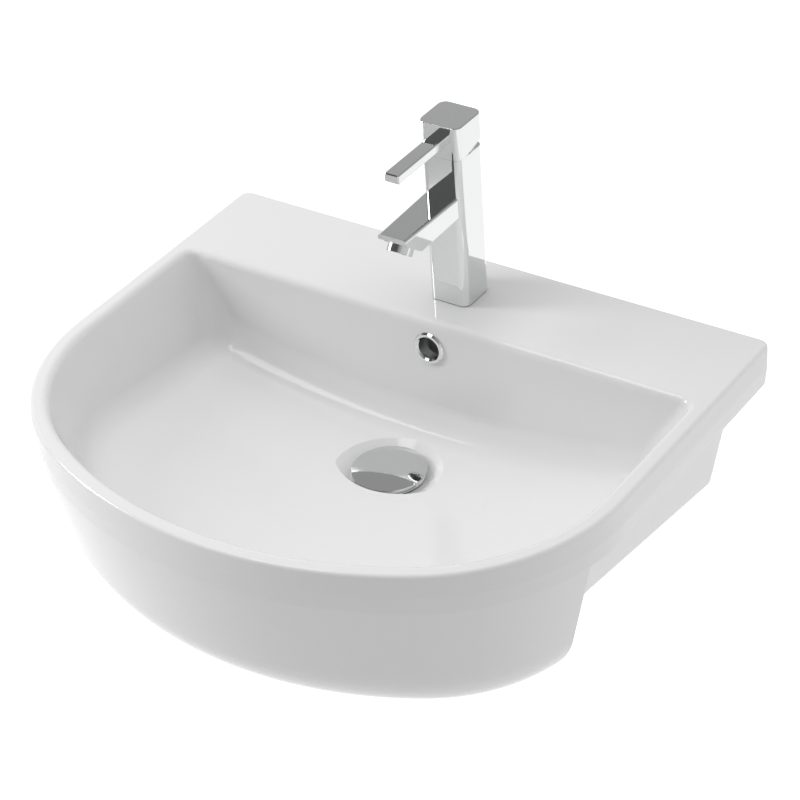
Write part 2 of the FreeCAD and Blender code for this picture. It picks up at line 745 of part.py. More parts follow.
dish = doc.addObject("Part::Cone", "dish")
bind(dish, "Radius1", s.seat_radius)
bind(dish, "Radius2", s.dish_radius)
bind(dish, "Height", s.dish_height)
bind(dish, "Placement.Base.y", waste_y)
bind(dish, "Placement.Base.z", waste_seat)
waste_bore = cylinder("waste_bore", s.waste_hole / 2, s.outlet_height + 20, waste_y,
                      outlet_under - 5)
tap_bore = cylinder("tap_bore", s.tap_hole / 2, s.deck_thick + 10, tap_y, deck_under - 5)
overflow_up = deck - s.overflow_down
overflow_face = s.bowl_back + s.bowl_back_slope * s.overflow_down
overflow_bore = cylinder("overflow_bore", s.overflow_hole / 2, overflow_face - s.duct_front + 20,
                         -s.duct_front + 5, overflow_up)
overflow_bore.Placement.Rotation = FreeCAD.Rotation(VEC(1, 0, 0), 90)
openings = boolean("MultiFuse", "openings",
                   [dish, waste_bore, tap_bore, overflow_bore, duct_inside])
casting = boolean("Cut", "casting", [rims, openings])

# The deck behind the bowl is three pieces, and the middle one carries the mixer.
deck_blocks = {}
for piece, start, across in (
        ("deck_left", -s.basin_width, s.basin_width - s.ledge_width / 2),
        ("tap_ledge", -s.ledge_width / 2, s.ledge_width),
        ("deck_right", s.ledge_width / 2, s.basin_width - s.ledge_width / 2)):
    room = doc.addObject("Part::Box", "block_" + piece)
    bind(room, "Length", across)
    bind(room, "Width", s.deck_joint + 10)
    bind(room, "Height", 2 * s.front_drop)
    bind(room, "Placement.Base.x", start)
    bind(room, "Placement.Base.y", -s.deck_joint)
    bind(room, "Placement.Base.z", -s.front_drop)
    deck_blocks[piece] = room
    boolean("MultiCommon", "basin_" + piece, [casting, room])
behind = boolean("MultiFuse", "behind", list(deck_blocks.values()))
basin = boolean("Cut", "basin", [casting, behind])
basin.Label = "basin"

# ---------------------------------------------------------------------------------------------
# Overflow ring: a lip on the back of the bowl and a sleeve in the bore, square to the wall
# ---------------------------------------------------------------------------------------------
overflow_ring = new_body("overflow_ring", 0, -overflow_face, overflow_up)
overflow_ring.Placement.Rotation = FreeCAD.Rotation(
    VEC(1, 0, 0), 90 - math.degrees(math.atan(s.bowl_back_slope.value)))
ring_half, ring_inner = s.ring_width / 2, s.ring_bore / 2
sleeve_outer = s.overflow_hole / 2 - s.sleeve_clearance - 0.6
turn(overflow_ring, [
    (ring_inner, -s.ring_sleeve), (sleeve_outer, -s.ring_sleeve), (sleeve_outer, 0),
    (ring_half, 0), (ring_half, s.ring_lip * 0.3), (ring_half - 1.4, s.ring_lip),
    (ring_inner + 1.2, s.ring_lip), (ring_inner, s.ring_lip * 0.4),
])

# ---------------------------------------------------------------------------------------------
# Waste: flange and slotted tail, seals, washer, backnut, click barrel and the plug that rises
# ---------------------------------------------------------------------------------------------
tail_end = flange_top - s.tail_length
tail_outer, tail_inner = s.thread_outer / 2, s.tail_bore / 2
flange_half = s.flange_width / 2

under_seal_low = outlet_under - s.under_seal_height
waste_washer_low = under_seal_low - s.waste_washer_thick
backnut_low = waste_washer_low - s.backnut_height
relief_top = backnut_low - 0.8
relief_low = relief_top - s.tail_relief
waste_body = new_body("waste_body", 0, waste_y)
turn(waste_body, [
    (tail_inner, tail_end), (tail_outer - 0.8, tail_end), (tail_outer, tail_end + 0.8),
    (tail_outer, relief_low), (tail_outer - 0.5, relief_low), (tail_outer - 0.5, relief_top),
    (tail_outer, relief_top), (tail_outer, flange_under), (flange_half, flange_under), (flange_half, flange_under + 0.8),
    (flange_half - 1.7, flange_top), (tail_inner + 3, flange_top), (tail_inner, flange_top - 2.5),
])
slot_low = duct_floor + s.duct_bore_height / 2 - s.tail_slot_height / 2
for across in ("x", "y"):
    size = [s.tail_slot_width, s.thread_outer + 4, s.tail_slot_height]
    low = [-s.tail_slot_width / 2, -s.thread_outer / 2 - 2, slot_low]
    if across == "y":
        size[0], size[1], low[0], low[1] = size[1], size[0], low[1], low[0]
    block(waste_body, low, size, cut=True)
spider_top = flange_top - s.spider_down
spider_low = spider_top - s.spider_thick
arm_long = s.tail_bore + 1
for size in ((arm_long, s.spider_arm), (s.spider_arm, arm_long)):
    block(waste_body, (-size[0] / 2, -size[1] / 2, spider_low), (size[0], size[1], s.spider_thick))
pin_bore = s.click_pin_width / 2 + s.pin_clearance
drum(waste_body, s.barrel_width / 2, s.spider_thick, z=spider_low)
drum(waste_body, pin_bore, s.spider_thick + 2, z=spider_low - 1, cut=True)


def washer(label, y, low, height, outer, inner, outer_top=None):
    """A flat or tapered ring that stands on height low."""
    body = new_body(label, 0, y)
    outer_top = outer if outer_top is None else outer_top
    turn(body, [(inner, low), (outer, low), (outer_top, low + height), (inner, low + height)])
    return body


washer("waste_flange_seal", waste_y, waste_seat, s.flange_seal_thick,
       flange_half - 1, tail_outer + 0.5)
washer("waste_under_seal", waste_y, under_seal_low, s.under_seal_height,
       tail_outer + 4, tail_outer + 0.3, s.under_seal_width / 2)
washer("waste_washer", waste_y, waste_washer_low, s.waste_washer_thick,
       tail_outer + 5, tail_outer + 0.4)

# The backnut has eight finger lobes.
waste_backnut = washer("waste_backnut", waste_y, backnut_low, s.backnut_height,
                       s.backnut_width / 2 - 3, tail_outer + 0.1)
lobe = pad(waste_backnut, ring(new_sketch(waste_backnut, "Lobe", "XY", backnut_low),
                               s.backnut_width / 2 - 4, 0, as_size(4)), s.backnut_height)
lobes = waste_backnut.newObject("PartDesign::PolarPattern", "Lobes")
lobes.Originals = [lobe]
lobes.Axis = ([f for f in waste_backnut.Origin.OriginFeatures if f.Role == "Z_Axis"][0], [""])
lobes.Angle = 360
lobes.Occurrences = 8
waste_backnut.Tip = lobes
doc.recompute()

# The barrel is a blind tube that hangs from the cross.  The plug's pin clicks down into it.
waste_click_barrel = new_body("waste_click_barrel", 0, waste_y)
barrel_half = s.barrel_width / 2
barrel_low = spider_low - s.barrel_length
turn(waste_click_barrel, [
    (0, barrel_low), (barrel_half - 1.5, barrel_low), (barrel_half, barrel_low + 1.5),
    (barrel_half, spider_low), (pin_bore, spider_low), (pin_bore, barrel_low + 2),
    (0, barrel_low + 2),
])
dome_seat = flange_top + s.dome_seal_thick
dome_half = s.dome_width / 2
pin_top = dome_seat + s.dome_crown - s.dome_thick
waste_click_pin = new_body("waste_click_pin", 0, waste_y)
pin_half = s.click_pin_width / 2
pin_low = barrel_low + 3
turn(waste_click_pin, [
    (0, pin_low), (pin_half - 1, pin_low), (pin_half, pin_low + 1), (pin_half, dome_seat - 0.6),
    (pin_half + 3, dome_seat - 0.6), (pin_half + 3, dome_seat + 1), (pin_half, dome_seat + 1),
    (pin_half, pin_top - 1), (0, pin_top - 1),
])

# The dome is a spun cap: a crown of one large radius and a short turned-down edge.
dome_top = dome_seat + s.dome_crown
crown_radius = (dome_half * dome_half + (s.dome_crown - 2) * (s.dome_crown - 2)) / (
    2 * (s.dome_crown - 2))
waste_dome = new_body("waste_dome", 0, waste_y)
crown_centre = dome_top - crown_radius
turn(waste_dome, [
    (0, dome_top - s.dome_thick - 1), (pin_half + 0.05, dome_top - s.dome_thick - 1),
    (pin_half + 0.05, dome_seat + 1), (pin_half + 3, dome_seat + 1),
    (pin_half + 3, dome_seat + 1.2), (dome_half - s.dome_thick, dome_seat + 1.2),
    (dome_half - s.dome_thick, dome_seat), (dome_half, dome_seat),
    (dome_half, dome_top - s.dome_crown + 2), (0, dome_top),
], arcs={8: (crown_radius, (0, crown_centre))})
washer("waste_dome_seal", waste_y, flange_top, s.dome_seal_thick + 1.2,
       dome_half - s.dome_thick - 0.2, tail_inner + 4.5)

# ---------------------------------------------------------------------------------------------
# Mixer body: the square column with the flat spout, bored for the water and the cartridge
# ---------------------------------------------------------------------------------------------
mixer_body = new_body("mixer_body", 0, tap_y)
pad(mixer_body, outline(new_sketch(mixer_body, "Column", "XY", column_base),
                        square_points(s.column_width)), column_top - column_base)
dress(mixer_body, is_upright, s.column_corner)

low_edge = spout_top - s.nose_depth
side = outline(new_sketch(mixer_body, "Spout", "YZ"), [
    (-half_column + 8, spout_top), (-s.spout_reach, spout_top),
    (-s.spout_reach, spout_top - s.spout_lip), (-s.spout_reach + s.nose_back, low_edge),
    (-half_column, spout_top - s.spout_root), (-half_column + 8, spout_top - s.spout_root),
])
pad(mixer_body, side, s.spout_root_width, centred=True)
taper = new_sketch(mixer_body, "Taper", "XY", low_edge - 5)
for hand in (1, -1):
    root_half, tip_half = hand * s.spout_root_width / 2, hand * s.spout_tip_width / 2
    outline(taper, [(root_half, -half_column), (tip_half, -s.spout_reach),
                    (tip_half, -s.spout_reach - 2), (root_half + hand * 2, -s.spout_reach - 2),
                    (root_half + hand * 2, -half_column)])
pocket(mixer_body, taper, s.nose_depth + 10)


def spout_edge(edge):
    box = edge.BoundBox
    outside = min(abs(box.XMin), abs(box.XMax)) > s.spout_tip_width.value / 2 - 0.01
    upper = box.ZMin > spout_top.value - 0.01
    return outside and upper and box.YMax < -half_column.value + 0.01 and box.YLength > 10


dress(mixer_body, spout_edge, s.spout_round)

# Bores, from the inlets and the stud in the base up to the cartridge seat and out to the spout.
drum(mixer_body, s.bore_width / 2, s.bore_depth + 1, z=cartridge_seat, cut=True)
drum(mixer_body, s.nut_thread / 2, s.bore_depth, z=housing_high, cut=True)
way = s.water_way / 2
for hand in (1, -1):
    x = hand * s.inlet_spread
    drum(mixer_body, s.inlet_thread / 2, s.inlet_length, x, -s.inlet_front, column_base, cut=True)
    drum(mixer_body, s.port_width / 2, cartridge_seat - column_base, hand * s.port_spread,
         -s.port_front, column_base, cut=True)
drum(mixer_body, s.stud_thread / 2 + s.thread_gap, s.stud_grip + 1, 0, s.stud_behind, column_base,
     cut=True)
way_up = spout_top - s.water_way_down
aerator_y = -s.spout_reach + s.aerator_back
drum(mixer_body, way, cartridge_seat - way_up, 0, s.port_behind, way_up, cut=True)
drum(mixer_body, way, s.port_behind - aerator_y, 0, s.port_behind, way_up, cut=True, along="Y")

aerator_low = spout_top - s.aerator_low
aerator_seat = spout_top - s.aerator_top
room_width = s.aerator_width + 2 * s.aerator_clearance
room_depth = s.aerator_depth + 2 * s.aerator_clearance
block(mixer_body, (-room_width / 2, aerator_y - room_depth / 2, low_edge - 2),
      (room_width, room_depth, aerator_seat - low_edge + 2), cut=True)
chamber_width = s.aerator_width - 2 * s.aerator_wall
chamber_depth = s.aerator_depth - 2 * s.aerator_wall
block(mixer_body, (-chamber_width / 2, aerator_y - chamber_depth / 2, low_edge - 2),
      (chamber_width, chamber_depth, way_up + way - low_edge + 2), cut=True)

# Aerator: a rectangular frame with a slotted insert and a seal above it.
seal_low = aerator_seat - s.aerator_seal_thick
aerator_shell = new_body("aerator_shell", 0, tap_y)
sketch = outline(new_sketch(aerator_shell, "Frame", "XY", aerator_low),
                 square_points(s.aerator_width, aerator_y, s.aerator_depth))
pad(aerator_shell, sketch, seal_low - aerator_low)
dress(aerator_shell, is_upright, as_size(1.2))
block(aerator_shell, (-chamber_width / 2, aerator_y - chamber_depth / 2, aerator_low - 1),
      (chamber_width, chamber_depth, seal_low - aerator_low + 2), cut=True)

aerator_seal = new_body("aerator_seal", 0, tap_y)
sketch = outline(new_sketch(aerator_seal, "Seal", "XY", seal_low),
                 square_points(s.aerator_width, aerator_y, s.aerator_depth))
outline(sketch, square_points(chamber_width, aerator_y, chamber_depth))
pad(aerator_seal, sketch, s.aerator_seal_thick)

core_width = chamber_width - 2 * s.aerator_clearance
core_depth = chamber_depth - 2 * s.aerator_clearance
core_low = aerator_low + s.aerator_sink
core_rows, core_columns = 3, 6
aerator_core = new_body("aerator_core", 0, tap_y)
block(aerator_core, (-core_width / 2, aerator_y - core_depth / 2, core_low),
      (core_width, core_depth, seal_low - core_low))
grid = new_sketch(aerator_core, "Grid", "XY", core_low - 1)
cell_x, cell_y = core_width / core_columns, core_depth / core_rows
for column in range(core_columns):
    for line in range(core_rows):
        x0 = -core_width / 2 + cell_x * column + 0.5
        y0 = aerator_y - core_depth / 2 + cell_y * line + 0.5
        outline(grid, frame_points(x0, y0, x0 + cell_x - 1, y0 + cell_y - 1))
pocket(aerator_core, grid, seal_low - core_low + 2)

# ---------------------------------------------------------------------------------------------
# What holds the mixer on the deck
# ---------------------------------------------------------------------------------------------
mixer_base_seal = new_body("mixer_base_seal", 0, tap_y)
sketch = outline(new_sketch(mixer_base_seal, "Seal", "XY", deck),
                 square_points(s.column_width - 2 * s.base_seal_inset))
pad(mixer_base_seal, sketch, s.base_seal_thick)
dress(mixer_base_seal, is_upright, s.column_corner - s.base_seal_inset)
drum(mixer_base_seal, s.tap_hole / 2 + 0.2, s.base_seal_thick + 2, z=deck - 1, cut=True)


def horseshoe(label, low, thick):
    """A round washer with a wide mouth for the inlets and a hole for the stud."""
    body = new_body(label, 0, tap_y)
    drum(body, s.shoe_radius, thick, z=low)
    back = s.stud_behind - s.stud_thread / 2 - 4.5
    block(body, (-s.shoe_slot / 2, -s.shoe_radius - 1, low - 1),
          (s.shoe_slot, s.shoe_radius + 1 + back, thick + 2), cut=True)
    drum(body, s.stud_thread / 2 + 0.3, thick + 2, 0, s.stud_behind, low - 1, cut=True)
    return body


rubber_low = deck_under - s.shoe_rubber
metal_low = rubber_low - s.shoe_metal
horseshoe("fixing_washer_rubber", rubber_low, s.shoe_rubber)
horseshoe("fixing_washer_metal", metal_low, s.shoe_metal)

stud_y = tap_y + s.stud_behind
fixing_stud = new_body("fixing_stud", 0, stud_y)
drum(fixing_stud, s.stud_thread / 2, s.stud_length, z=column_base + s.stud_grip - s.stud_length)
dress(fixing_stud, lambda e: isinstance(e.Curve, Part.Circle), as_size(0.7), "Chamfer")

fixing_nut = new_body("fixing_nut", 0, stud_y)
nut_low = metal_low - s.fixing_nut_height
corner = s.fixing_nut_flats / math.sqrt(3)
hexagon = [(corner * math.cos(math.radians(60 * i)), corner * math.sin(math.radians(60 * i)))
           for i in range(6)]
pad(fixing_nut, outline(new_sketch(fixing_nut, "Hexagon", "XY", nut_low), hexagon),
    s.fixing_nut_height)
drum(fixing_nut, s.stud_thread / 2 + s.thread_gap, s.fixing_nut_height + 2, z=nut_low - 1, cut=True)

# ---------------------------------------------------------------------------------------------
# Cartridge: seal, base, two ceramic discs, carrier, housing, rotor, pin, stem and nut
# ---------------------------------------------------------------------------------------------
def ports(body, low, height):
    """The two inlets and the mixed water port, in line with the bores of the column."""
    for hand in (1, -1):
        drum(body, s.port_width / 2, height + 2, hand * s.port_spread, -s.port_front, low - 1,
             cut=True)
    drum(body, way, height + 2, 0, s.port_behind, low - 1, cut=True)


def cartridge_disc(label, low, height, width, ported=True):
    body = new_body(label, 0, tap_y)
    drum(body, width / 2, height, z=low)
    if ported:
        ports(body, low, height)
    return body


cartridge_disc("cartridge_seals", cartridge_seat, s.gasket_thick, s.cartridge_width - 1)
cartridge_disc("cartridge_base", base_low, s.cartridge_base_thick, s.cartridge_width)
fixed_width = s.fixed_disc_width + 2
cartridge_disc("cartridge_fixed_disc", fixed_low, s.disc_thick, fixed_width)
moving_disc = cartridge_disc("cartridge_moving_disc", moving_low, s.disc_thick,
                             s.moving_disc_width, ported=False)
drum(moving_disc, s.moving_disc_width / 2 - 2.5, s.disc_thick / 2, z=moving_low, cut=True)

carrier = cartridge_disc("cartridge_disc_carrier", carrier_low, s.carrier_thick,
                         s.carrier_width, ported=False)
foot_room = s.stem_foot + 2 * s.socket_gap
block(carrier, (-foot_room / 2, -foot_room / 2, carrier_low + 1),
      (foot_room, foot_room, s.carrier_thick), cut=True)

housing = new_body("cartridge_housing", 0, tap_y)
inner, outer = s.housing_inner / 2, s.cartridge_width / 2
neck_room = s.rotor_neck_width / 2 + s.rotor_gap
turn(housing, [
    (inner, fixed_low), (outer, fixed_low), (outer, housing_high), (neck_room, housing_high),
    (neck_room, housing_under), (inner, housing_under),
])

rotor = new_body("cartridge_rotor", 0, tap_y)
rotor_high = rotor_low + s.rotor_flange_thick
rotor_top = housing_high + s.rotor_neck_up - 2
neck = s.rotor_neck_width / 2
turn(rotor, [
    (0, rotor_low), (s.rotor_flange_width / 2, rotor_low), (s.rotor_flange_width / 2, rotor_high),
    (neck, rotor_high), (neck, rotor_top - 0.6), (neck - 0.6, rotor_top), (0, rotor_top),
])
slot = s.stem_width + 2 * s.stem_gap
slot_back = s.rotor_neck_width / 2 + 1
block(rotor, (-slot / 2, -(s.stem_depth / 2 + 3), rotor_low - 1),
      (slot, s.stem_depth / 2 + 3 + slot_back, rotor_top - rotor_low + 2), cut=True)
pin_long = s.rotor_flange_width - 2
pin_hole = new_sketch(rotor, "PinHole", "YZ")
ring(pin_hole, 0, pivot, s.pin_width / 2 + s.pin_fit)
pocket(rotor, pin_hole, s.rotor_flange_width + 2, centred=True)

stem_pin = new_body("cartridge_stem_pin", 0, tap_y)
pin_round = new_sketch(stem_pin, "Round", "YZ")
ring(pin_round, 0, pivot, s.pin_width / 2)
pad(stem_pin, pin_round, pin_long, centred=True)

stem = new_body("cartridge_stem", 0, tap_y)
foot_low = carrier_low + 1.9
shoulder = pivot - s.pin_width / 2 - 1.1
block(stem, (-s.stem_foot / 2, -s.stem_foot / 2, foot_low),
      (s.stem_foot, s.stem_foot, shoulder - foot_low + 1))
block(stem, (-s.stem_width / 2, -s.stem_depth / 2, shoulder),
      (s.stem_width, s.stem_depth, pivot + s.stem_up - shoulder))
stem_hole = new_sketch(stem, "PinHole", "YZ")
ring(stem_hole, 0, pivot, s.pin_width / 2 + s.pin_fit)
pocket(stem, stem_hole, s.stem_width + 2, centred=True)

nut = washer("cartridge_nut", tap_y, housing_high, s.nut_height,
             s.nut_thread / 2 - s.thread_gap, s.nut_bore / 2)
for turn_by in (0, 90):
    groove = outline(new_sketch(nut, "Key", "XY", housing_high + s.nut_height - 2),
                     square_points(s.nut_thread + 2, 0, as_size(3)) if turn_by == 0 else
                     square_points(as_size(3), 0, s.nut_thread + 2))
    pocket(nut, groove, as_size(3))

# ---------------------------------------------------------------------------------------------
# Handle: the square head with its hollow and boss, the lever and the screws
# ---------------------------------------------------------------------------------------------
half_head = s.head_width / 2
head = new_body("handle_head", 0, tap_y)
pad(head, outline(new_sketch(head, "Square", "XY", handle_under), square_points(s.head_width)),
    s.handle_up)
dress(head, is_upright, s.head_corner)
dress(head, lambda e: at_height(e, handle_top), s.handle_round)
hollow_width = s.head_width - 2 * s.handle_shell
block(head, (-hollow_width / 2, -hollow_width / 2, handle_under - 1),
      (hollow_width, hollow_width, s.hollow_up + 1), cut=True)
block(head, (-s.boss_width / 2, -s.boss_width / 2, handle_under + s.boss_up),
      (s.boss_width, s.boss_width, s.hollow_up - s.boss_up + 1))
relief_long = s.relief_front + half_head + 1
relief = outline(new_sketch(head, "Relief", "YZ"), [
    (-s.relief_front, handle_under - 1), (half_head + 1, handle_under - 1),
    (half_head + 1, handle_under + relief_long * s.relief_rise),
    (-s.relief_front, handle_under),
])
pocket(head, relief, s.head_width + 2, centred=True)
socket_top = pivot + s.stem_up + 0.3
block(head, (-s.stem_width / 2 - 0.1, -s.stem_depth / 2 - 0.1, handle_under - 1),
      (s.stem_width + 0.2, s.stem_depth + 0.2, socket_top - handle_under + 1), cut=True)

grub_up = handle_top - s.grub_down
grub_room = s.grub_thread / 2 + s.thread_gap
drum(head, grub_room, half_head + 1 - s.stem_depth / 2, 0, half_head + 1, grub_up,
     cut=True, along="Y")
drum(head, s.plug_width / 2 + s.thread_gap, s.plug_thick + 1, 0, half_head + 1, grub_up,
     cut=True, along="Y")
lever_top = handle_top - s.lever_down
lever_mid = lever_top - s.lever_thick / 2
stud_room = s.lever_stud_thread / 2 + s.thread_gap
drum(head, stud_room, s.lever_stud_half + 1, 0, -half_head + s.lever_stud_half + 0.2, lever_mid,
     cut=True, along="Y")

lever = new_body("handle_lever", 0, tap_y)
block(lever, (-s.lever_width / 2, -half_head - s.lever_length, lever_top - s.lever_thick),
      (s.lever_width, s.lever_length, s.lever_thick))
dress(lever, lambda e: e.BoundBox.YLength > 10, s.lever_round)
dress(lever, lambda e: e.BoundBox.YMax < -half_head.value - s.lever_length.value + 0.01,
      as_size(0.9), "Chamfer")
drum(lever, stud_room, s.lever_stud_half + 1.2, 0, -half_head + 1, lever_mid,
     cut=True, along="Y")

lever_stud = new_body("lever_stud", 0, tap_y)
drum(lever_stud, s.lever_stud_thread / 2, 2 * s.lever_stud_half, 0,
     -half_head + s.lever_stud_half, lever_mid, along="Y")

grub = new_body("handle_grub_screw", 0, tap_y)
drum(grub, s.grub_thread / 2, s.grub_length, 0, s.stem_depth / 2 + s.grub_length, grub_up,
     along="Y")
hexes = [(1.4 * math.cos(math.radians(60 * i)), grub_up + 1.4 * math.sin(math.radians(60 * i)))
         for i in range(6)]
key = outline(new_sketch(grub, "Key", "XZ", -(s.stem_depth / 2 + s.grub_length)), hexes)
pocket(grub, key, as_size(3))

plug = new_body("handle_screw_plug", 0, tap_y)
drum(plug, s.plug_width / 2, s.plug_thick, 0, half_head, grub_up, along="Y")

# ---------------------------------------------------------------------------------------------
# Check every object, then write one file for each piece
# ---------------------------------------------------------------------------------------------
PIECES = [
    "basin", "basin_deck_left", "basin_tap_ledge", "basin_deck_right",
    "basin_side_left", "basin_side_right", "overflow_ring", "waste_body", "waste_flange_seal", "waste_under_seal",
    "waste_washer", "waste_backnut", "waste_click_barrel", "waste_click_pin", "waste_dome",
    "waste_dome_seal", "mixer_body", "aerator_shell", "aerator_seal", "aerator_core",
    "mixer_base_seal", "fixing_washer_rubber", "fixing_washer_metal", "fixing_stud",
    "fixing_nut", "cartridge_seals", "cartridge_base", "cartridge_fixed_disc",
    "cartridge_moving_disc", "cartridge_disc_carrier", "cartridge_housing", "cartridge_rotor",
    "cartridge_stem_pin", "cartridge_stem", "cartridge_nut", "handle_head", "handle_lever",
    "lever_stud", "handle_grub_screw", "handle_screw_plug",
]
doc.recompute()
for thing in doc.Objects:
    if "Invalid" in thing.State or "Error" in thing.State:
        raise ValueError("%s (%s) did not build: %s" % (thing.Label, thing.Name, thing.State))
os.makedirs("parts", exist_ok=True)
for name in PIECES:
    piece = doc.getObjectsByLabel(name)[0]
    if piece.Shape.isNull() or not piece.Shape.isValid():
        raise ValueError(name + " has no valid shape")
    if len(piece.Shape.Solids) != 1:
        raise ValueError("%s is %d solids" % (name, len(piece.Shape.Solids)))
    piece.Shape.exportStep("parts/%s.step" % name)
    box = piece.Shape.BoundBox
    print("%-24s %9.0f mm3  x %7.1f %7.1f  y %7.1f %7.1f  z %7.1f %7.1f" % (
        name, piece.Shape.Volume, box.XMin, box.XMax, box.YMin, box.YMax, box.ZMin, box.ZMax))
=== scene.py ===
# %% [markdown]
# # Semi recessed basin with its square mixer tap
# A semi recessed basin goes half through a worktop and stands out in front of
# it. The casting, the mixer tap, the overflow ring and the waste come from the
# CAD model, and here they are neither moved nor reshaped. This lesson gives
# them the finishes of the real thing, adds the small parts that are easier to
# shape by hand, and sets up a plain studio round them.

import math

import bpy
from mathutils import Matrix, Vector


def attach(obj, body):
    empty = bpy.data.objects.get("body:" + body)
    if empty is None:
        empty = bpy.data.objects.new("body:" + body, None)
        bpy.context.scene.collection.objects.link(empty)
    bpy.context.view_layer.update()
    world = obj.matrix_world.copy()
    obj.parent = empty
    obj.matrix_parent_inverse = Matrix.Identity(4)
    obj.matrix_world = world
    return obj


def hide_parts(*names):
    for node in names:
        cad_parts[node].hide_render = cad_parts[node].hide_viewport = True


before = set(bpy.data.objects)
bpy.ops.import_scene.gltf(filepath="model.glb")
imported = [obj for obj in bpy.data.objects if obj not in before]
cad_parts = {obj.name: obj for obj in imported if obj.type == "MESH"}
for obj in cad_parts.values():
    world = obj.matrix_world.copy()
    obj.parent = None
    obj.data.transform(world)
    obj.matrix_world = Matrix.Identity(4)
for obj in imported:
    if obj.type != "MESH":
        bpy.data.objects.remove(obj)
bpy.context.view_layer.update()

# %% [markdown]
# ## The camera
# The photograph was taken from the right of the basin's middle and a little
# over a metre above it, with a long lens, so upright edges lean only slightly.
# A camera could be placed by eye, but then each edge would be a few pixels
# off. This one was worked out from the deck's straight back edge, its square
# corners and the tap's upright edges: the lens, the place and the small roll.

# %% Camera
CAMERA_TURN = math.radians(35.532)
CAMERA_RISE = math.radians(34.723)
CAMERA_ROLL = math.radians(-4.281)
CAMERA_PLACE = Vector((1.095453, -1.688015, 1.294685))
LENS_IN_PIXELS = 2773.214
FRAME_WIDTH = 800
SENSOR_WIDTH = 36


def point_the_camera():
    back = Vector((math.sin(CAMERA_TURN) * math.cos(CAMERA_RISE),
                   -math.cos(CAMERA_TURN) * math.cos(CAMERA_RISE),
                   math.sin(CAMERA_RISE)))
    level = Vector((math.cos(CAMERA_TURN), math.sin(CAMERA_TURN), 0))
    upright = back.cross(level)
    right = math.cos(CAMERA_ROLL) * level + math.sin(CAMERA_ROLL) * upright
    top = -math.sin(CAMERA_ROLL) * level + math.cos(CAMERA_ROLL) * upright
    data = bpy.data.cameras.new("catalogue_camera")
    data.sensor_width = SENSOR_WIDTH
    data.lens = SENSOR_WIDTH * LENS_IN_PIXELS / FRAME_WIDTH
    data.clip_start, data.clip_end = 0.05, 60
    camera = bpy.data.objects.new("catalogue_camera", data)
    bpy.context.scene.collection.objects.link(camera)
    turn = Matrix((right, top, back)).transposed()
    camera.matrix_world = Matrix.Translation(CAMERA_PLACE) @ turn.to_4x4()
    bpy.context.scene.camera = camera
    return camera


camera = point_the_camera()
print("lens %.1f mm" % camera.data.lens)

# %% [markdown]
# ## Small tools for node trees
# The floor, the room and every finish are built from nodes, and most of them
# are sums on one or two values. Nodes can be wired by hand, one line for each
# socket. These three helpers wire one node each, so a later cell reads as what
# it means: a sum, an eased step, or a dot product with a fixed direction.

# %% Helpers for sums on nodes


def worked_out(tree, operation, *parts):
    """One sum, on parts that are numbers or other nodes' outputs."""
    node = tree.nodes.new("ShaderNodeMath")
    node.operation = operation
    for socket, part in zip(node.inputs, parts):
        if isinstance(part, (int, float)):
            socket.default_value = part
        else:
            tree.links.new(part, socket)
    return node.outputs[0]


def stepped(tree, value, start, end, low, high, eased=True):
    """A number that goes from low to high as a value goes from start to end."""
    node = tree.nodes.new("ShaderNodeMapRange")
    node.interpolation_type = "SMOOTHSTEP" if eased else "LINEAR"
    node.inputs["From Min"].default_value = start
    node.inputs["From Max"].default_value = end
    node.inputs["To Min"].default_value = low
    node.inputs["To Max"].default_value = high
    tree.links.new(value, node.inputs["Value"])
    return node.outputs["Result"]


def along(tree, place, direction):
    """How far a place or a look goes along a fixed direction."""
    node = tree.nodes.new("ShaderNodeVectorMath")
    node.operation = "DOT_PRODUCT"
    node.inputs[1].default_value = direction
    tree.links.new(place, node.inputs[0])
    return node.outputs["Value"]


print("helpers:", worked_out.__name__, stepped.__name__, along.__name__)

# %% [markdown]
# ## The floor
# The basin hangs in its worktop at washing height, so the floor is far below.
# It has to look plain white. Lamps strong enough for that would wash out the
# white glaze, so the floor glows, and it glows by what looks at it: the camera
# sees white, polished metal sees a little less, and the basin gets the light
# that a real floor throws back. That light is weakest under the basin and in
# front of it, which keeps the middle of the drafted front wall the darkest
# part of the outside, as in the photograph.

# %% Floor
FLOOR_BELOW_WORKTOP = 0.85
FLOOR_SPAN = 14.0


def deselect_all():
    if bpy.context.mode != "OBJECT":
        bpy.ops.object.mode_set(mode="OBJECT")
    bpy.ops.object.select_all(action="DESELECT")


def studio_floor():
    deselect_all()
    bpy.ops.mesh.primitive_plane_add(size=FLOOR_SPAN, location=(0, 0, -FLOOR_BELOW_WORKTOP))
    floor = bpy.context.object
    floor.name = "studio_floor"
    return floor


floor = studio_floor()
print("floor %.2f m below the worktop" % FLOOR_BELOW_WORKTOP)

# %% Light that the floor throws back
BOUNCE_NEAR, BOUNCE_FAR = 0.04, 0.68
SHADOW_FROM, SHADOW_TO = 0.3, 3.0
BOUNCE_IN_FRONT = 0.18
FRONT_OF_BASIN = (0.55, -0.835, 0)
FRONT_FROM, FRONT_TO = 0.1, 0.95


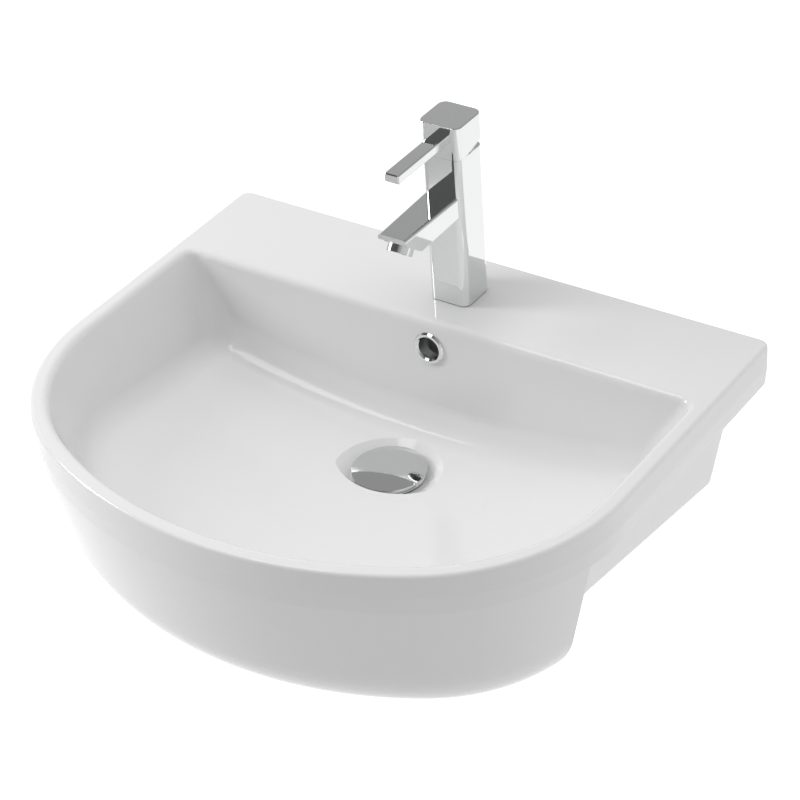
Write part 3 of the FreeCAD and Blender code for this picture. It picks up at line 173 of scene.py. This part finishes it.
def bounce_over_the_floor(tree):
    """Most from far off at the sides, less from in front, least from under the basin."""
    place = tree.nodes.new("ShaderNodeTexCoord").outputs["Object"]
    away = tree.nodes.new("ShaderNodeVectorMath")
    away.operation = "LENGTH"
    tree.links.new(place, away.inputs[0])
    near = stepped(tree, away.outputs["Value"], SHADOW_FROM, SHADOW_TO, BOUNCE_NEAR, BOUNCE_FAR)
    flat = tree.nodes.new("ShaderNodeVectorMath")
    flat.operation = "NORMALIZE"
    tree.links.new(place, flat.inputs[0])
    front = stepped(tree, along(tree, flat.outputs["Vector"], FRONT_OF_BASIN),
                    FRONT_FROM, FRONT_TO, 1.0, BOUNCE_IN_FRONT)
    return worked_out(tree, "MULTIPLY", near, front)


print("bounce from %.2f to %.2f" % (BOUNCE_NEAR, BOUNCE_FAR))

# %% Floor finish
FLOOR_WHITE = (0.8, 0.8, 0.8, 1)
FLOOR_SEEN = 0.62
FLOOR_MIRRORED = 0.45


def seen_or_through(tree, path):
    """1 where the camera looks straight at a surface, or at it through glass."""
    return worked_out(tree, "MAXIMUM", path.outputs["Is Camera Ray"],
                      path.outputs["Is Transmission Ray"])


def floor_finish():
    material = bpy.data.materials.new("studio_white")
    material.use_nodes = True
    tree = material.node_tree
    tree.nodes.clear()
    path = tree.nodes.new("ShaderNodeLightPath")
    bounced = worked_out(tree, "MULTIPLY", path.outputs["Is Diffuse Ray"],
                         bounce_over_the_floor(tree))
    mirrored = worked_out(tree, "MULTIPLY_ADD", path.outputs["Is Glossy Ray"],
                          FLOOR_MIRRORED, bounced)
    strength = worked_out(tree, "MULTIPLY_ADD", seen_or_through(tree, path),
                          FLOOR_SEEN, mirrored)
    glow = tree.nodes.new("ShaderNodeEmission")
    tree.links.new(strength, glow.inputs["Strength"])
    matt = tree.nodes.new("ShaderNodeBsdfDiffuse")
    matt.inputs["Color"].default_value = FLOOR_WHITE
    both = tree.nodes.new("ShaderNodeAddShader")
    tree.links.new(matt.outputs[0], both.inputs[0])
    tree.links.new(glow.outputs[0], both.inputs[1])
    output = tree.nodes.new("ShaderNodeOutputMaterial")
    tree.links.new(both.outputs[0], output.inputs["Surface"])
    return material


floor.data.materials.append(floor_finish())
print("floor finish:", floor.data.materials[0].name)

# %% [markdown]
# ## The room
# The glaze is lit by a white room, not by a bare lamp, or its highlights would
# be hard. Each wall of the room is a soft lobe of light with a direction, a
# narrowness and a level: a narrow one overhead for the deck and the floor of
# the bowl, ones at the left and in front for the drafted front wall, one at
# the back for the inside of that wall, and ones at the right for the skirt.
# Polished metal shows the room itself, so it gets a picture of its own: pale
# sides, a darker ceiling that the flat tops of the tap mirror, and one dark
# corner. The camera sees plain white.

# %% Walls of light
# direction, narrowness and level of each soft white wall
WHITE_WALLS = (
    ((0, 0, 1), 4, 1.78),
    ((-1, -0.1, 0.1), 3, 0.36),
    ((-0.4, -0.92, -0.05), 6, 0.62),
    ((1, 0, 0), 4, 0.45),
    ((0, 1, 0.35), 2, 0.84),
    ((0.95, 0.3, -0.02), 6, 1.48),
)


def towards(tree, place, direction, narrow):
    """1 where the room is looked at along a direction, falling to 0 a quarter turn away."""
    facing = along(tree, place, Vector(direction).normalized())
    return worked_out(tree, "POWER", worked_out(tree, "MAXIMUM", facing, 0), narrow)


def soft_walls(tree, place):
    total = 0
    for direction, narrow, level in WHITE_WALLS:
        lobe = towards(tree, place, direction, narrow)
        total = worked_out(tree, "MULTIPLY_ADD", lobe, level, total)
    return total


print("walls of light:", len(WHITE_WALLS))

# %% Room that polished metal shows
MIRRORED_SIDES = 0.78
MIRRORED_OVERHEAD = 0.40
OVERHEAD_FROM, OVERHEAD_TO = 0.30, 0.62
MIRRORED_DARK = 0.28
DARK_CORNER = (-0.478, -0.669, 0.570)
CORNER_FROM, CORNER_TO = 0.55, 0.85


def mirrored_walls(tree, place):
    split = tree.nodes.new("ShaderNodeSeparateXYZ")
    tree.links.new(place, split.inputs[0])
    height = stepped(tree, split.outputs["Z"], OVERHEAD_FROM, OVERHEAD_TO,
                     MIRRORED_SIDES, MIRRORED_OVERHEAD)
    corner = stepped(tree, towards(tree, place, DARK_CORNER, 1), CORNER_FROM, CORNER_TO,
                     1.0, MIRRORED_DARK)
    return worked_out(tree, "MULTIPLY", height, corner)


print("mirrored sides %.2f, overhead %.2f" % (MIRRORED_SIDES, MIRRORED_OVERHEAD))

# %% Room
ROOM_PAINT = (0.8, 0.8, 0.8, 1)
PLAIN_WHITE = (1, 1, 1, 1)


def wall_paint(tree, colour, strength=None):
    paint = tree.nodes.new("ShaderNodeBackground")
    paint.inputs["Color"].default_value = colour
    if strength is not None:
        tree.links.new(strength, paint.inputs["Strength"])
    return paint.outputs[0]


def one_or_other(tree, switch, first, second):
    """The first shader where a switch is 0, and the second where it is 1."""
    mix = tree.nodes.new("ShaderNodeMixShader")
    tree.links.new(switch, mix.inputs[0])
    tree.links.new(first, mix.inputs[1])
    tree.links.new(second, mix.inputs[2])
    return mix.outputs[0]


def white_room():
    world = bpy.data.worlds.new("white_room")
    bpy.context.scene.world = world
    world.use_nodes = True
    tree = world.node_tree
    tree.nodes.clear()
    place = tree.nodes.new("ShaderNodeTexCoord").outputs["Generated"]
    path = tree.nodes.new("ShaderNodeLightPath")
    light = wall_paint(tree, ROOM_PAINT, soft_walls(tree, place))
    mirrored = wall_paint(tree, ROOM_PAINT, mirrored_walls(tree, place))
    shown = wall_paint(tree, PLAIN_WHITE)
    lit = one_or_other(tree, path.outputs["Is Glossy Ray"], light, mirrored)
    room = one_or_other(tree, seen_or_through(tree, path), lit, shown)
    output = tree.nodes.new("ShaderNodeOutputWorld")
    tree.links.new(room, output.inputs["Surface"])
    return world


world = white_room()
print("room:", world.name)

# %% [markdown]
# ## The lamps
# The room alone casts no shadow that can be read. One wide lamp overhead, a
# little to the front and left, throws the tap's soft shadow to the right
# across the deck. A tall one at the left gives the thin bright line along the
# rim and lights the left end of the front wall. Both are wide, because a small
# lamp would leave hard spots in the glaze.

# %% Lamps
LAMP_AIM = (0, -0.2, 0)


def softbox(name, place, across, power):
    data = bpy.data.lights.new(name, "AREA")
    data.shape = "RECTANGLE"
    data.size, data.size_y = across
    data.energy = power
    lamp = bpy.data.objects.new(name, data)
    bpy.context.scene.collection.objects.link(lamp)
    lamp.location = place
    lamp.rotation_mode = "QUATERNION"
    lamp.rotation_quaternion = (Vector(LAMP_AIM) - Vector(place)).to_track_quat("-Z", "Y")
    return lamp


overhead = softbox("overhead_softbox", (-0.55, -0.75, 1.75), (0.8, 0.8), 6)
left_lamp = softbox("left_softbox", (-1.7, -0.9, 1.0), (0.5, 0.9), 16)
print("lamps:", overhead.name, left_lamp.name)

# %% [markdown]
# ## A shared effect: slow and fine drift
# Glaze, plated metal and moulded rubber are never quite even. A slow drift
# changes the colour or the gloss over a few centimetres, and a fine one over a
# few millimetres. Each finish could have noise of its own, but they all need
# the same two, so both are one node group, used with other sizes in every
# finish. It reads Object coordinates, so it stays with a piece that moves.

# %% Drift group


def drift_group():
    group = bpy.data.node_groups.new("slow_and_fine_drift", "ShaderNodeTree")
    for label, usual in (("Slow Size", 20.0), ("Fine Size", 200.0), ("Slow Share", 0.7)):
        socket = group.interface.new_socket(label, in_out="INPUT", socket_type="NodeSocketFloat")
        socket.default_value = usual
    group.interface.new_socket("Drift", in_out="OUTPUT", socket_type="NodeSocketFloat")
    enter = group.nodes.new("NodeGroupInput")
    leave = group.nodes.new("NodeGroupOutput")
    place = group.nodes.new("ShaderNodeTexCoord")
    slow = group.nodes.new("ShaderNodeTexNoise")
    fine = group.nodes.new("ShaderNodeTexNoise")
    slow.inputs["Detail"].default_value = 2
    fine.inputs["Detail"].default_value = 3
    mix = group.nodes.new("ShaderNodeMix")
    group.links.new(place.outputs["Object"], slow.inputs["Vector"])
    group.links.new(place.outputs["Object"], fine.inputs["Vector"])
    group.links.new(enter.outputs["Slow Size"], slow.inputs["Scale"])
    group.links.new(enter.outputs["Fine Size"], fine.inputs["Scale"])
    group.links.new(enter.outputs["Slow Share"], mix.inputs["Factor"])
    group.links.new(fine.outputs["Fac"], mix.inputs["A"])
    group.links.new(slow.outputs["Fac"], mix.inputs["B"])
    group.links.new(mix.outputs["Result"], leave.inputs["Drift"])
    return group


DRIFT = drift_group()
print("shared effect:", DRIFT.name)

# %% Helpers for the finishes


def new_finish(name, roughness, metallic=0.0):
    material = bpy.data.materials.new(name)
    material.use_nodes = True
    shader = material.node_tree.nodes["Principled BSDF"]
    shader.inputs["Roughness"].default_value = roughness
    shader.inputs["Metallic"].default_value = metallic
    return material, material.node_tree, shader


def drift(tree, slow, fine, share=0.7):
    node = tree.nodes.new("ShaderNodeGroup")
    node.node_tree = DRIFT
    node.inputs["Slow Size"].default_value = slow
    node.inputs["Fine Size"].default_value = fine
    node.inputs["Slow Share"].default_value = share
    return node.outputs["Drift"]


def between(tree, mask, low, high):
    """Two numbers mixed by a drift, whose values mostly lie from 0.3 to 0.7."""
    return stepped(tree, mask, 0.3, 0.7, low, high, eased=False)


def place_of(tree, axis):
    """Where a point of the object lies along one axis, in metres."""
    place = tree.nodes.new("ShaderNodeTexCoord")
    split = tree.nodes.new("ShaderNodeSeparateXYZ")
    tree.links.new(place.outputs["Object"], split.inputs[0])
    return split.outputs[axis]


def two_tones(tree, mask, first, second):
    """Two colours mixed by a mask, of which the first may be another node's output."""
    mix = tree.nodes.new("ShaderNodeMix")
    mix.data_type = "RGBA"
    if isinstance(first, tuple):
        mix.inputs["A"].default_value = (*first, 1)
    else:
        tree.links.new(first, mix.inputs["A"])
    mix.inputs["B"].default_value = (*second, 1)
    tree.links.new(mask, mix.inputs["Factor"])
    return mix.outputs["Result"]


def bumps(tree, height, strength, distance):
    node = tree.nodes.new("ShaderNodeBump")
    node.inputs["Strength"].default_value = strength
    node.inputs["Distance"].default_value = distance
    tree.links.new(height, node.inputs["Height"])
    return node.outputs["Normal"]


print("helpers:", drift.__name__, between.__name__, two_tones.__name__, bumps.__name__)

# %% [markdown]
# ## Glazed ceramic
# The basin is fireclay under a white glaze. A flat white would look like
# plastic. The glaze is very smooth but waves a little, and that makes its
# highlights look poured, so it gets a low bump from the drift and two whites
# that are almost the same. The back face, which stands against the wall, is
# wiped clean before firing, so it is bare clay: matt and slightly darker.

# %% Ceramic finish
GLAZE_WHITE = (0.80, 0.80, 0.795)
GLAZE_THICK = (0.78, 0.785, 0.785)
GLAZE_HAZE = 0.09
GLAZE_TINT_SIZES = (9, 60)
GLAZE_WAVE_SIZES = (26, 140, 0.8)
GLAZE_WAVE_STRENGTH, GLAZE_WAVE_HEIGHT = 0.06, 0.0012
BARE_CLAY = (0.72, 0.69, 0.63)
BARE_HAZE = 0.75
WIPED_FROM, WIPED_TO = -0.0012, -0.0002


def glazed_ceramic():
    material, tree, shader = new_finish("white_glaze", GLAZE_HAZE)
    shader.inputs["IOR"].default_value = 1.5
    glaze = two_tones(tree, drift(tree, *GLAZE_TINT_SIZES), GLAZE_WHITE, GLAZE_THICK)
    bare = stepped(tree, place_of(tree, "Y"), WIPED_FROM, WIPED_TO, 0, 1, eased=False)
    tree.links.new(two_tones(tree, bare, glaze, BARE_CLAY), shader.inputs["Base Color"])
    haze = stepped(tree, bare, 0, 1, GLAZE_HAZE, BARE_HAZE, eased=False)
    tree.links.new(haze, shader.inputs["Roughness"])
    waves = drift(tree, *GLAZE_WAVE_SIZES)
    poured = bumps(tree, waves, GLAZE_WAVE_STRENGTH, GLAZE_WAVE_HEIGHT)
    tree.links.new(poured, shader.inputs["Normal"])
    return material


CERAMIC = glazed_ceramic()
print("finish:", CERAMIC.name)

# %% [markdown]
# ## Metals
# Chrome is plated over brass and polished, so it is a mirror with a faint
# haze, and what it shows is the room. Under the handle there is a gap 0.6 mm
# high. On the real tap it is a thin dark line, but two mirrors that face
# each other would fill it with light, so the handle's flat underside is painted
# near black: painted shade that stands for the shadow in the gap. The waste's
# backnut and the fixings under the deck are turned or pressed from brass and steel, so they are
# rougher.

# %% Metal finishes
# painted shade: a near-black colour in a thin band of height, standing in for the shadow in the
# gap under the handle
JOINT_LOW, JOINT_HIGH = 0.17830, 0.17864
PAINTED_GAP_SHADE = (0.02, 0.02, 0.021)
TARNISH = 0.95
METAL_SLOW_SIZE, METAL_SLOW_SHARE = 30, 0.4


def painted_joint_shade(tree):
    """1 on the flat underside of the handle, which looks down into the gap over the column; the
    painted shade of the gap goes there.
    """
    height = place_of(tree, "Z")
    over = worked_out(tree, "GREATER_THAN", height, JOINT_LOW)
    under = worked_out(tree, "LESS_THAN", height, JOINT_HIGH)
    return worked_out(tree, "MULTIPLY", over, under)


def metal(name, colour, haze, roughest, grain, joint=False):
    material, tree, shader = new_finish(name, haze, metallic=1.0)
    mask = drift(tree, METAL_SLOW_SIZE, grain, METAL_SLOW_SHARE)
    darker = tuple(TARNISH * part for part in colour)
    tint = two_tones(tree, mask, colour, darker)
    # paints the shade of the gap onto the handle's underside
    if joint:
        tint = two_tones(tree, painted_joint_shade(tree), tint, PAINTED_GAP_SHADE)
    tree.links.new(tint, shader.inputs["Base Color"])
    tree.links.new(between(tree, mask, haze, roughest), shader.inputs["Roughness"])
    return material


# the chrome carries the painted shade in the gap under the handle
CHROME = metal("polished_chrome", (0.82, 0.825, 0.83), 0.03, 0.06, 420, joint=True)
BRASS = metal("turned_brass", (0.72, 0.52, 0.25), 0.22, 0.36, 900)
STEEL = metal("zinc_plated_steel", (0.55, 0.56, 0.57), 0.28, 0.42, 700)
print("metals:", CHROME.name, BRASS.name, STEEL.name)

# %% [markdown]
# ## Rubber, plastic and the cartridge's discs
# The seals are black rubber, the cartridge's housing and rotor and the waste's
# slip washer are moulded plastic, and the two discs in the cartridge are
# sintered and lapped. They could each be drawn by themselves, but they differ
# only in their colours, their gloss and the grain of their skin, so one
# function makes all of them.

# %% Rubber, plastic and disc finishes
MOULD_SLOW_SIZE, MOULD_SLOW_SHARE = 40, 0.5
SKIN_STRENGTH = 0.3


def moulded(name, colour, second, haze, roughest, grain, depth):
    material, tree, shader = new_finish(name, haze)
    mask = drift(tree, MOULD_SLOW_SIZE, grain, MOULD_SLOW_SHARE)
    tree.links.new(two_tones(tree, mask, colour, second), shader.inputs["Base Color"])
    tree.links.new(between(tree, mask, haze, roughest), shader.inputs["Roughness"])
    skin = drift(tree, grain, grain * 3, MOULD_SLOW_SHARE)
    tree.links.new(bumps(tree, skin, SKIN_STRENGTH, depth), shader.inputs["Normal"])
    return material


RUBBER = moulded("black_rubber", (0.028, 0.028, 0.03), (0.045, 0.045, 0.046),
                 0.55, 0.75, 800, 0.0001)
DARK_PLASTIC = moulded("dark_plastic", (0.05, 0.052, 0.055), (0.035, 0.036, 0.038),
                       0.35, 0.5, 600, 0.00005)
PALE_PLASTIC = moulded("pale_plastic", (0.74, 0.74, 0.72), (0.68, 0.68, 0.66),
                       0.35, 0.5, 600, 0.00005)
DISC = moulded("sintered_disc", (0.83, 0.80, 0.75), (0.76, 0.73, 0.69),
               0.18, 0.3, 900, 0.00003)
print("moulded:", RUBBER.name, DARK_PLASTIC.name, PALE_PLASTIC.name, DISC.name)

# %% [markdown]
# ## Finishes on the solids
# Each solid comes with a plain material that is named for its slot, such as
# chrome or rubber. The shapes are right, so nothing is added over them: the
# plain material is taken off its slot and the finish of that name put on.

# %% Put the finishes on the solids
FINISHES = {
    "glazed_ceramic": CERAMIC,
    "chrome": CHROME,
    "brass": BRASS,
    "steel": STEEL,
    "rubber": RUBBER,
    "plastic_dark": DARK_PLASTIC,
    "plastic_white": PALE_PLASTIC,
    "disc_ceramic": DISC,
}

for name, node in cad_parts.items():
    for slot in node.material_slots:
        plain = slot.material.name.split(".")[0] if slot.material else ""
        if plain in FINISHES:
            slot.material = FINISHES[plain]
        else:
            print("no finish for", name, plain)
print("dressed", len(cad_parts), "solids")

# %% [markdown]
# ## The aerator under the spout
# The nose of the spout slopes back, and the aerator stands square to that
# slope: a short round sleeve with a mesh set a little way up inside it. The
# pieces could be modelled upright and turned afterwards, but here every
# primitive is added at its turn and moved along the slope, so each number is
# a size that could be measured on the tap.

# %% Slope of the nose
NOSE_TIP = Vector((0, -0.1490, 0.1385))
NOSE_HEEL = Vector((0, -0.1280, 0.1225))
AERATOR_ALONG = 0.0152
slope = (NOSE_HEEL - NOSE_TIP).normalized()
outwards = Vector((0, slope.z, -slope.y))
nose_turn = math.atan2(slope.z, slope.y)
aerator_foot = NOSE_TIP + slope * AERATOR_ALONG


def on_the_nose(back, out):
    """A point over the slope, further back along it from the foot, and outwards."""
    return aerator_foot + slope * back + outwards * out


print("the nose slopes %.1f degrees" % math.degrees(nose_turn))

# %% Helpers for the pieces
SMOOTH_UNDER = math.radians(35)


def pick_faces(piece, test):
    """Selects the faces that pass a test on their centre and normal, in edit mode."""
    deselect_all()
    bpy.context.view_layer.objects.active = piece
    piece.select_set(True)
    bpy.ops.object.mode_set(mode="EDIT")
    bpy.ops.mesh.select_mode(type="FACE")
    bpy.ops.mesh.select_all(action="DESELECT")
    bpy.ops.object.mode_set(mode="OBJECT")
    for face in piece.data.polygons:
        face.select = test(piece.matrix_world @ face.center, face.normal)
    bpy.ops.object.mode_set(mode="EDIT")


def finish_piece(piece, name, finish, slot):
    """Names a piece, puts its origin in the frame, smooths it and lets it ride on the basin."""
    deselect_all()
    bpy.context.view_layer.objects.active = piece
    piece.select_set(True)
    bpy.ops.object.transform_apply(location=True, rotation=True, scale=True)
    bpy.ops.object.shade_smooth_by_angle(angle=SMOOTH_UNDER)
    piece.name = piece.data.name = name
    piece.data.materials.clear()
    piece.data.materials.append(finish)
    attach(piece, "basin_fixed")
    return piece


print("helpers:", pick_faces.__name__, finish_piece.__name__)

# %% [markdown]
# ## Sleeve
# The sleeve is a turned brass tube, plated. It starts as a solid cylinder, and
# its lip and its throat are cut into the outer end by insets and one extrusion
# inwards, as they would be turned. A tube with a bevel would do too, but the
# insets give the lip its own small flat, which catches the light.

# %% Aerator sleeve
AERATOR_RADIUS = 0.0113
AERATOR_STANDS = 0.0066
SLEEVE_SUNK = 0.0004
LIP_ROUND, LIP_RISE, LIP_FLAT = 0.0004, 0.0003, 0.0008
THROAT_ROUND, THROAT_DROP, THROAT_DEPTH = 0.0003, 0.0004, 0.0030


def aerator_sleeve():
    deselect_all()
    depth = AERATOR_STANDS + SLEEVE_SUNK
    bpy.ops.mesh.primitive_cylinder_add(vertices=96, radius=AERATOR_RADIUS, depth=depth,
                                        location=on_the_nose(0, depth / 2 - SLEEVE_SUNK),
                                        rotation=(nose_turn, 0, 0))
    sleeve = bpy.context.object
    pick_faces(sleeve, lambda centre, normal: normal.z < -0.9)
    bpy.ops.mesh.inset(thickness=LIP_ROUND)
    bpy.ops.transform.translate(value=outwards * LIP_RISE)
    bpy.ops.mesh.inset(thickness=LIP_FLAT)
    bpy.ops.mesh.inset(thickness=THROAT_ROUND)
    bpy.ops.transform.translate(value=-outwards * THROAT_DROP)
    inwards = {"value": -outwards * THROAT_DEPTH}
    bpy.ops.mesh.extrude_region_move(TRANSFORM_OT_translate=inwards)
    bpy.ops.object.mode_set(mode="OBJECT")
    return finish_piece(sleeve, "aerator_sleeve", CHROME, "chrome")


sleeve = aerator_sleeve()
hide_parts("aerator_shell", "aerator_core")
print("aerator sleeve:", len(sleeve.data.polygons), "faces")

# %% [markdown]
# ## Collar
# Between the sleeve and the nose there is a thin flat collar, with edges just
# round enough to shine. A plate this simple is a cube, scaled to its size and
# bevelled with a modifier, which keeps the round even on all its edges.

# %% Collar between the sleeve and the nose
COLLAR_ACROSS, COLLAR_ALONG, COLLAR_THICK = 0.0246, 0.0188, 0.0007
COLLAR_BACK = 0.0013
COLLAR_ROUND = 0.00025


def aerator_collar():
    deselect_all()
    bpy.ops.mesh.primitive_cube_add(size=1, location=on_the_nose(COLLAR_BACK, 0),
                                    rotation=(nose_turn, 0, 0))
    collar = bpy.context.object
    collar.scale = (COLLAR_ACROSS, COLLAR_ALONG, COLLAR_THICK)
    bpy.ops.object.transform_apply(location=False, rotation=False, scale=True)
    round_off = collar.modifiers.new("soft_edges", "BEVEL")
    round_off.width, round_off.segments = COLLAR_ROUND, 3
    bpy.ops.object.modifier_apply(modifier=round_off.name)
    return finish_piece(collar, "aerator_collar", CHROME, "chrome")


collar = aerator_collar()
print("aerator collar:", len(collar.data.polygons), "faces")

# %% [markdown]
# ## Mesh
# The dark net inside the sleeve is moulded plastic. A bump would look flat
# from close by and would leave no real holes. So a grid is cut round, the
# middle of each cell is taken out, and what is left gets a thickness.

# %% Mesh inside the sleeve
MESH_CELLS = 11
MESH_BACK = 0.0024
MESH_REACH = AERATOR_RADIUS - 0.0011
MESH_BAR = 0.00028
MESH_THICK = 0.0008


def aerator_mesh():
    deselect_all()
    foot = on_the_nose(0, AERATOR_STANDS - MESH_BACK)
    bpy.ops.mesh.primitive_grid_add(x_subdivisions=MESH_CELLS, y_subdivisions=MESH_CELLS,
                                    size=2 * AERATOR_RADIUS, location=foot,
                                    rotation=(nose_turn, 0, 0))
    net = bpy.context.object
    pick_faces(net, lambda centre, normal: (centre - foot).length > MESH_REACH)
    bpy.ops.mesh.delete(type="FACE")
    bpy.ops.mesh.select_all(action="SELECT")
    bpy.ops.mesh.inset(thickness=MESH_BAR, use_individual=True)
    bpy.ops.mesh.delete(type="FACE")
    bpy.ops.object.mode_set(mode="OBJECT")
    deselect_all()
    net.select_set(True)
    bpy.context.view_layer.objects.active = net
    solid = net.modifiers.new("thickness", "SOLIDIFY")
    solid.thickness = MESH_THICK
    bpy.ops.object.modifier_apply(modifier=solid.name)
    return finish_piece(net, "aerator_mesh", DARK_PLASTIC, "plastic_dark")


net = aerator_mesh()
print("aerator mesh:", len(net.data.polygons), "faces")

# %% [markdown]
# ## Colour and the end
# A colour should render as it is written, so the view transform is Standard.

# %% Colour as written
bpy.context.scene.view_settings.view_transform = "Standard"
print("view transform:", bpy.context.scene.view_settings.view_transform)
